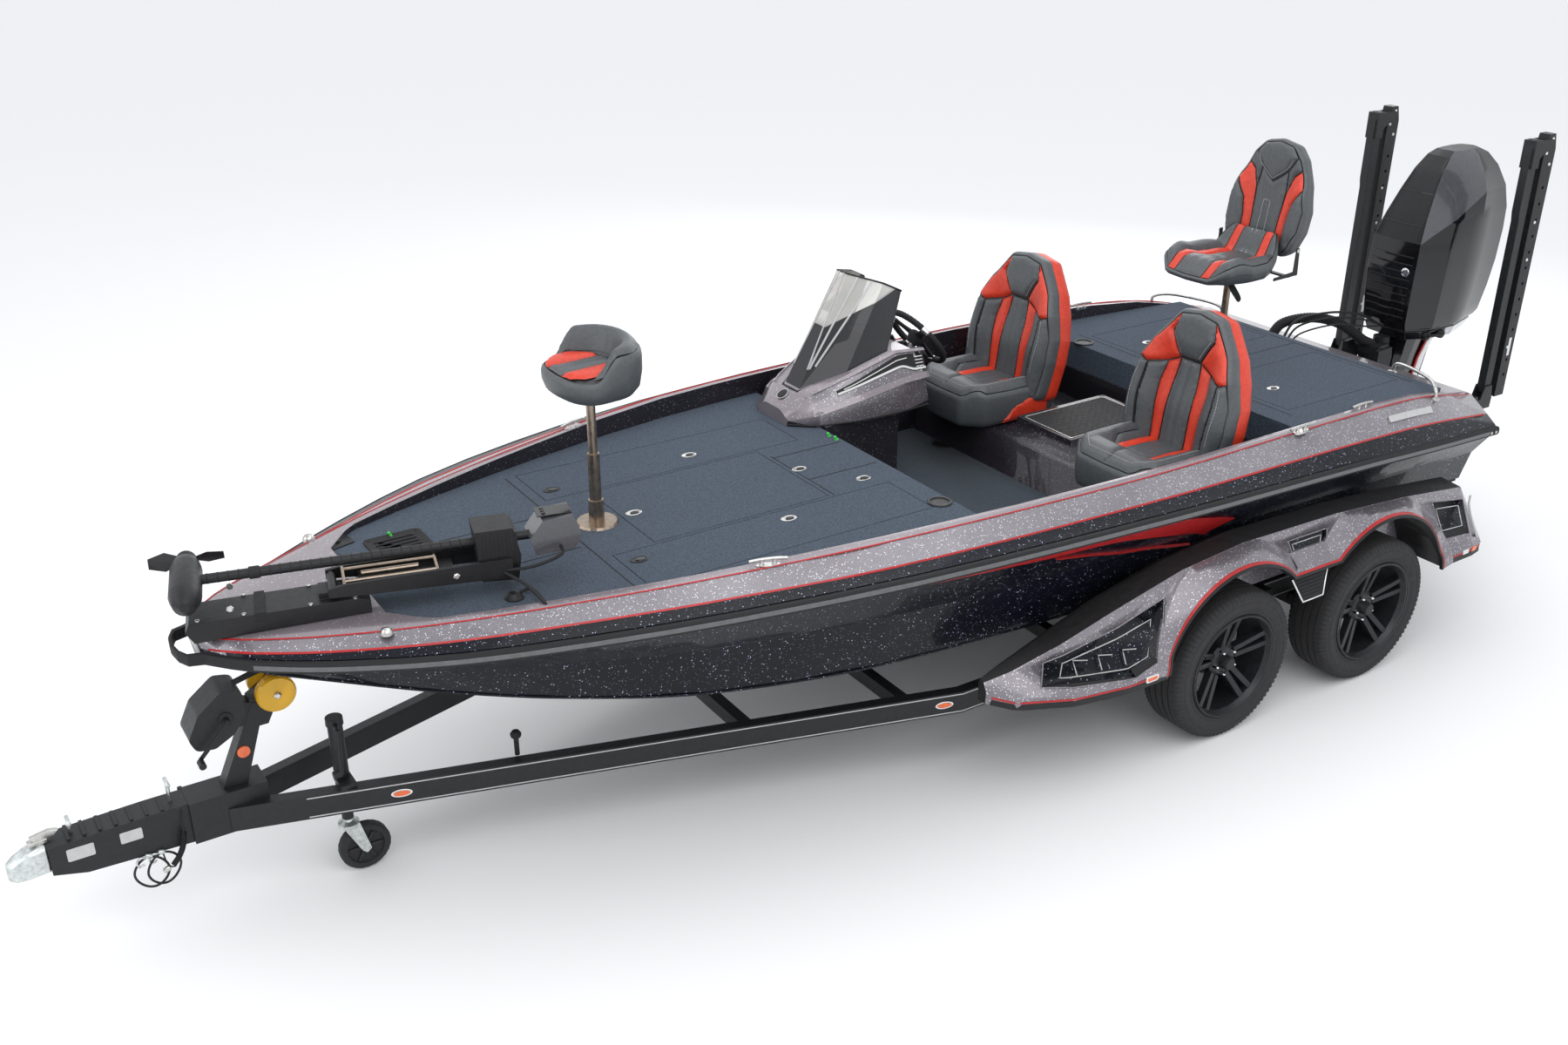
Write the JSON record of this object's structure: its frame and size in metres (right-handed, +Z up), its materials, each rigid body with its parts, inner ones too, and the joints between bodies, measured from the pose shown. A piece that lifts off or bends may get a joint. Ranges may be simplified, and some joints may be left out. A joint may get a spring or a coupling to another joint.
{
  "type": "bass boat on a tandem-axle trailer",
  "caption": "Bass boat with outboard, trolling motor, folding anchors, seats and hatches, standing on its tandem-axle bunk trailer with a swing-away tongue and a caster jack.",
  "frame": {"origin": "on the ground, below the middle of the overall length and width", "axes": "+X forward to the coupler, +Y to port, +Z up"},
  "size_m": [7.865, 2.57, 2.245],
  "materials": {
    "hull_navy": "gloss gelcoat with metal flake",
    "gunwale_mauve": "gloss gelcoat with silver flake",
    "carpet": "speckled deck carpet",
    "liner_grey": "moulded liner",
    "black_plastic": "moulded",
    "satin_black": "satin paint",
    "gloss_black": "gloss cowl",
    "seat_vinyl": "marine vinyl",
    "stainless": "polished",
    "zinc": "zinc plated",
    "tyre_rubber": "matt",
    "amber_urethane": "translucent",
    "smoked_screen": "smoked"
  },
  "bodies": {
    "boat_and_trailer": {"hull": "hull_navy", "gunwale_cap": "gunwale_mauve", "rub_rail": "black_plastic", "fore_deck": "carpet", "aft_deck": "carpet", "cockpit_liner": "liner_grey", "driver_seat": "seat_vinyl", "passenger_seat": "seat_vinyl", "bow_pedestal": "stainless", "aft_pedestal": "stainless", "console": "gunwale_mauve", "windscreen": "smoked_screen", "transom_mount": "satin_black", "port_anchor_bracket": "satin_black", "starboard_anchor_bracket": "satin_black", "trolling_base": "black_plastic", "trailer_frame": "satin_black", "starboard_beam": "satin_black", "port_bunk": "satin_black", "starboard_bunk": "satin_black", "front_axle": "satin_black", "rear_axle": "satin_black", "port_fender": "gunwale_mauve", "starboard_fender": "gunwale_mauve", "winch_stand": "satin_black", "bow_rollers": "amber_urethane", "jack": "satin_black"},
    "centre_lid": {"centre_lid": "carpet"},
    "port_rod_lid": {"port_rod_lid": "carpet"},
    "starboard_rod_lid": {"starboard_rod_lid": "carpet"},
    "port_aft_lid": {"port_aft_lid": "carpet"},
    "starboard_aft_lid": {"starboard_aft_lid": "carpet"},
    "step_lid": {"step_lid": "black_plastic"},
    "bow_seat": {"bow_seat": "seat_vinyl"},
    "aft_seat": {"aft_seat": "seat_vinyl"},
    "aft_seat_back": {"aft_seat_back": "seat_vinyl"},
    "steering_wheel": {"steering_wheel": "black_plastic"},
    "swivel_bracket": {"swivel_bracket": "satin_black"},
    "motor": {"motor_cowl": "gloss_black", "motor_leg": "gloss_black"},
    "propeller": {"propeller": "stainless"},
    "port_anchor_arm": {"port_anchor_arm": "satin_black"},
    "starboard_anchor_arm": {"starboard_anchor_arm": "satin_black"},
    "port_anchor_spike": {"port_anchor_spike": "black_plastic"},
    "starboard_anchor_spike": {"starboard_anchor_spike": "black_plastic"},
    "trolling_arm": {"trolling_arm": "black_plastic"},
    "trolling_shaft": {"trolling_shaft": "satin_black"},
    "trolling_propeller": {"trolling_propeller": "black_plastic"},
    "tongue": {"tongue_channel": "satin_black", "coupler": "zinc"},
    "caster_fork": {"caster_fork": "zinc"},
    "caster_wheel": {"caster_wheel": "tyre_rubber"},
    "front_port_wheel": {"front_port_wheel_tyre": "tyre_rubber", "front_port_wheel_rim": "satin_black"},
    "rear_port_wheel": {"rear_port_wheel_tyre": "tyre_rubber", "rear_port_wheel_rim": "satin_black"},
    "front_starboard_wheel": {"front_starboard_wheel_tyre": "tyre_rubber", "front_starboard_wheel_rim": "satin_black"},
    "rear_starboard_wheel": {"rear_starboard_wheel_tyre": "tyre_rubber", "rear_starboard_wheel_rim": "satin_black"}
  },
  "joints": [
    {"name": "centre_lid_hinge", "type": "hinge", "parent": "boat_and_trailer", "child": "centre_lid", "pos_m": [1.5275, 0, 1.152], "axis": [0, 1, 0], "range_deg": [0, 70]},
    {"name": "port_rod_lid_hinge", "type": "hinge", "parent": "boat_and_trailer", "child": "port_rod_lid", "pos_m": [0.4275, 0.605, 1.152], "axis": [-1, 0, 0], "range_deg": [0, 85]},
    {"name": "starboard_rod_lid_hinge", "type": "hinge", "parent": "boat_and_trailer", "child": "starboard_rod_lid", "pos_m": [0.4875, -0.605, 1.152], "axis": [1, 0, 0], "range_deg": [0, 85]},
    {"name": "port_aft_lid_hinge", "type": "hinge", "parent": "boat_and_trailer", "child": "port_aft_lid", "pos_m": [-2.4125, 0.66, 1.167], "axis": [-1, 0, 0], "range_deg": [0, 85]},
    {"name": "starboard_aft_lid_hinge", "type": "hinge", "parent": "boat_and_trailer", "child": "starboard_aft_lid", "pos_m": [-2.4125, -0.66, 1.167], "axis": [1, 0, 0], "range_deg": [0, 85]},
    {"name": "step_lid_hinge", "type": "hinge", "parent": "boat_and_trailer", "child": "step_lid", "pos_m": [-1.2525, 0, 1.052], "axis": [0, -1, 0], "range_deg": [0, 80]},
    {"name": "bow_seat_swivel", "type": "hinge", "parent": "boat_and_trailer", "child": "bow_seat", "pos_m": [1.6355, 0, 1.69], "axis": [0, 0, 1], "continuous": true},
    {"name": "aft_seat_swivel", "type": "hinge", "parent": "boat_and_trailer", "child": "aft_seat", "pos_m": [-1.8725, 0, 1.62], "axis": [0, 0, 1], "continuous": true},
    {"name": "aft_seat_fold", "type": "hinge", "parent": "aft_seat", "child": "aft_seat_back", "pos_m": [-2.0575, 0, 1.77], "axis": [0, 1, 0], "range_deg": [0, 80]},
    {"name": "motor_tilt", "type": "hinge", "parent": "boat_and_trailer", "child": "swivel_bracket", "pos_m": [-3.0925, 0, 1.02], "axis": [0, 1, 0], "range_deg": [0, 65]},
    {"name": "motor_steer", "type": "hinge", "parent": "swivel_bracket", "child": "motor", "pos_m": [-3.1825, 0, 1.02], "axis": [0, 0, 1], "range_deg": [-28, 28]},
    {"name": "propeller_spin", "type": "hinge", "parent": "motor", "child": "propeller", "pos_m": [-3.5728, 0, 0.36], "axis": [1, 0, 0], "continuous": true},
    {"name": "steering_wheel_turn", "type": "hinge", "parent": "boat_and_trailer", "child": "steering_wheel", "pos_m": [-0.3925, -0.59, 1.4], "axis": [-0.788, 0, 0.6157], "range_deg": [-448, 448]},
    {"name": "port_anchor_fold", "type": "hinge", "parent": "boat_and_trailer", "child": "port_anchor_arm", "pos_m": [-3.4775, 0.475, 0.85], "axis": [0, -1, 0], "range_deg": [0, 100]},
    {"name": "starboard_anchor_fold", "type": "hinge", "parent": "boat_and_trailer", "child": "starboard_anchor_arm", "pos_m": [-3.4775, -0.475, 0.85], "axis": [0, -1, 0], "range_deg": [0, 100]},
    {"name": "port_spike_level", "type": "hinge", "parent": "port_anchor_arm", "child": "port_anchor_spike", "pos_m": [-3.5825, 0.475, 2.17], "axis": [0, -1, 0], "range_deg": [-100, 0]},
    {"name": "starboard_spike_level", "type": "hinge", "parent": "starboard_anchor_arm", "child": "starboard_anchor_spike", "pos_m": [-3.5825, -0.475, 2.17], "axis": [0, -1, 0], "range_deg": [-100, 0]},
    {"name": "trolling_arm_fold", "type": "hinge", "parent": "boat_and_trailer", "child": "trolling_arm", "pos_m": [2.74235, 0.17096, 1.262], "axis": [0.2419, 0.9703, 0], "range_deg": [0, 140]},
    {"name": "trolling_shaft_fold", "type": "hinge", "parent": "trolling_arm", "child": "trolling_shaft", "pos_m": [2.17958, 0.31128, 1.27], "axis": [0.2419, 0.9703, 0], "range_deg": [-63.7, 0]},
    {"name": "trolling_propeller_spin", "type": "hinge", "parent": "trolling_shaft", "child": "trolling_propeller", "pos_m": [3.16203, -0.08858, 1.345], "axis": [0.2419, 0.9703, 0], "continuous": true},
    {"name": "tongue_fold", "type": "hinge", "parent": "boat_and_trailer", "child": "tongue", "pos_m": [3.3275, -0.075, 0.41], "axis": [0, 0, 1], "range_deg": [-110, 0]},
    {"name": "caster_swivel", "type": "hinge", "parent": "boat_and_trailer", "child": "caster_fork", "pos_m": [2.7875, 0.1, 0.245], "axis": [0, 0, 1], "continuous": true},
    {"name": "caster_wheel_spin", "type": "hinge", "parent": "caster_fork", "child": "caster_wheel", "pos_m": [2.7395, 0.1, 0.1], "axis": [0, 1, 0], "continuous": true},
    {"name": "front_port_wheel_spin", "type": "hinge", "parent": "boat_and_trailer", "child": "front_port_wheel", "pos_m": [-0.7555, 1.155, 0.35], "axis": [0, 1, 0], "continuous": true},
    {"name": "rear_port_wheel_spin", "type": "hinge", "parent": "boat_and_trailer", "child": "rear_port_wheel", "pos_m": [-1.6785, 1.155, 0.35], "axis": [0, 1, 0], "continuous": true},
    {"name": "front_starboard_wheel_spin", "type": "hinge", "parent": "boat_and_trailer", "child": "front_starboard_wheel", "pos_m": [-0.7555, -1.155, 0.35], "axis": [0, 1, 0], "continuous": true},
    {"name": "rear_starboard_wheel_spin", "type": "hinge", "parent": "boat_and_trailer", "child": "rear_starboard_wheel", "pos_m": [-1.6785, -1.155, 0.35], "axis": [0, 1, 0], "continuous": true}
  ],
  "couplings": [
    {"joint": "steering_wheel_turn", "follows": "motor_steer", "ratio": 16},
    {"joint": "port_spike_level", "follows": "port_anchor_fold", "ratio": -1},
    {"joint": "starboard_spike_level", "follows": "starboard_anchor_fold", "ratio": -1},
    {"joint": "trolling_shaft_fold", "follows": "trolling_arm_fold", "ratio": -0.4546}
  ]
}
